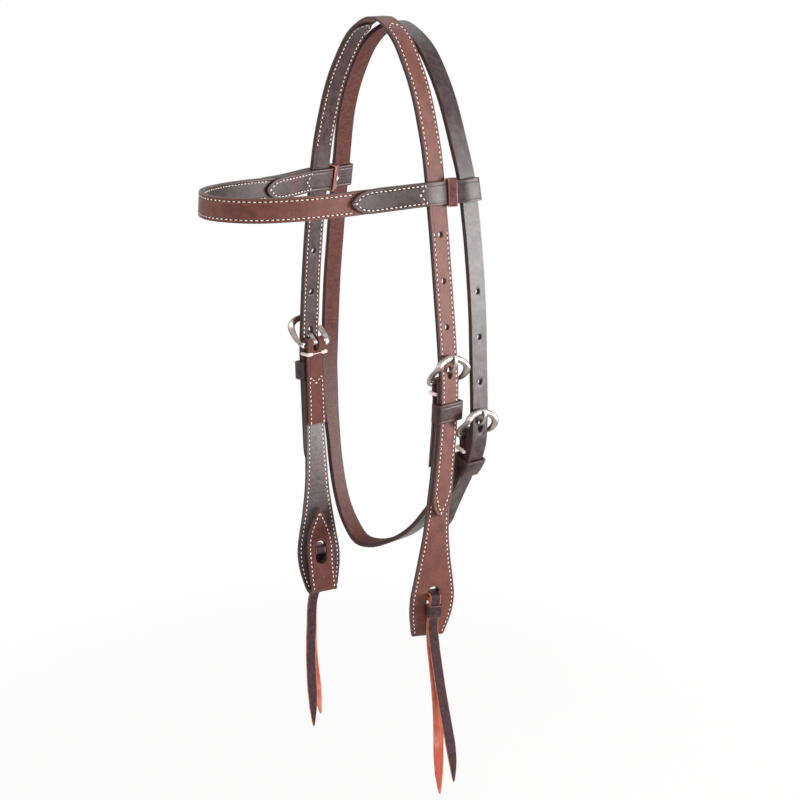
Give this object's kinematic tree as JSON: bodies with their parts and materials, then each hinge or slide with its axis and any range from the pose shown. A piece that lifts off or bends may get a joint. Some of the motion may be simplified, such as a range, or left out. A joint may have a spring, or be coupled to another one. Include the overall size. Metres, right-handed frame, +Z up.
{
  "type": "western headstall",
  "caption": "Browband headstall of stitched leather with tied bit loops, a buckled throat latch and buckled cheek pieces.",
  "frame": {"origin": "poll seat: underside of the crown strap at its highest point", "axes": "+Z up, -Y the way the horse faces, +X the horse's near (left) side"},
  "size_m": [0.1739, 0.1836, 0.5595],
  "materials": {
    "rough_out_leather": "rough-out, matte nap",
    "dark_leather": "smooth, satin",
    "glossy_dark_leather": "smooth, glossy",
    "burgundy_leather": "smooth, satin",
    "latigo": "oiled, satin",
    "thread": "waxed thread",
    "nickel": "brushed nickel plate"
  },
  "bodies": {
    "straps": {"crown_outer_ply": "rough_out_leather", "crown_lining_near": "dark_leather", "crown_lining_far": "dark_leather", "throat_strap": "dark_leather", "throat_fold_tack": "thread", "near_cheek_outer_ply": "rough_out_leather", "near_cheek_lining": "dark_leather", "near_cheek_keeper": "dark_leather", "near_bar_tack": "thread", "near_tie_bight": "latigo", "near_tie_wrap": "latigo", "near_tie_tail_front": "latigo", "near_tie_tail_back": "latigo", "far_cheek_outer_ply": "rough_out_leather", "far_cheek_lining": "dark_leather", "far_cheek_keeper": "dark_leather", "far_bar_tack": "thread", "far_tie_bight": "latigo", "far_tie_wrap": "latigo", "far_tie_tail_front": "latigo", "far_tie_tail_back": "latigo"},
    "browband": {"browband_outer_ply": "rough_out_leather", "browband_lining": "dark_leather", "near_loop_strap": "glossy_dark_leather", "near_divider_band": "burgundy_leather", "near_divider_tack": "thread", "far_loop_strap": "glossy_dark_leather", "far_divider_band": "burgundy_leather", "far_divider_tack": "thread"},
    "near_buckle": {"near_buckle_frame": "nickel"},
    "near_tongue": {"near_buckle_tongue": "nickel"},
    "far_buckle": {"far_buckle_frame": "nickel"},
    "far_tongue": {"far_buckle_tongue": "nickel"},
    "throat_buckle": {"throat_buckle_frame": "nickel"},
    "throat_tongue": {"throat_buckle_tongue": "nickel"},
    "keeper": {"throat_keeper": "dark_leather"}
  },
  "joints": [
    {"name": "browband_slide", "type": "slide", "parent": "straps", "child": "browband", "axis": [0, 0, 1], "range_m": [-0.0035, 0.0015]},
    {"name": "near_buckle_swing", "type": "hinge", "parent": "straps", "child": "near_buckle", "pos_m": [0.07111, -0.00445, -0.24054], "axis": [-0.0002, 1, 0.0037], "range_deg": [0, 3]},
    {"name": "near_tongue_swing", "type": "hinge", "parent": "near_buckle", "child": "near_tongue", "pos_m": [0.07111, -0.00445, -0.24054], "axis": [-0.0002, 1, 0.0037], "range_deg": [0, 3]},
    {"name": "far_buckle_swing", "type": "hinge", "parent": "straps", "child": "far_buckle", "pos_m": [-0.07111, -0.00445, -0.24054], "axis": [-0.0002, -1, -0.0037], "range_deg": [0, 3]},
    {"name": "far_tongue_swing", "type": "hinge", "parent": "far_buckle", "child": "far_tongue", "pos_m": [-0.07111, -0.00445, -0.24054], "axis": [-0.0002, -1, -0.0037], "range_deg": [0, 3]},
    {"name": "throat_buckle_swing", "type": "hinge", "parent": "straps", "child": "throat_buckle", "pos_m": [0.07552, 0.01893, -0.28161], "axis": [-0.0017, 0.9994, -0.0333], "range_deg": [0, 3]},
    {"name": "throat_tongue_swing", "type": "hinge", "parent": "throat_buckle", "child": "throat_tongue", "pos_m": [0.07552, 0.01893, -0.28161], "axis": [-0.0017, 0.9994, -0.0333], "range_deg": [0, 3]},
    {"name": "keeper_slide", "type": "slide", "parent": "straps", "child": "keeper", "axis": [0.4504, 0.076, 0.8896], "range_m": [0, 0.002]}
  ]
}
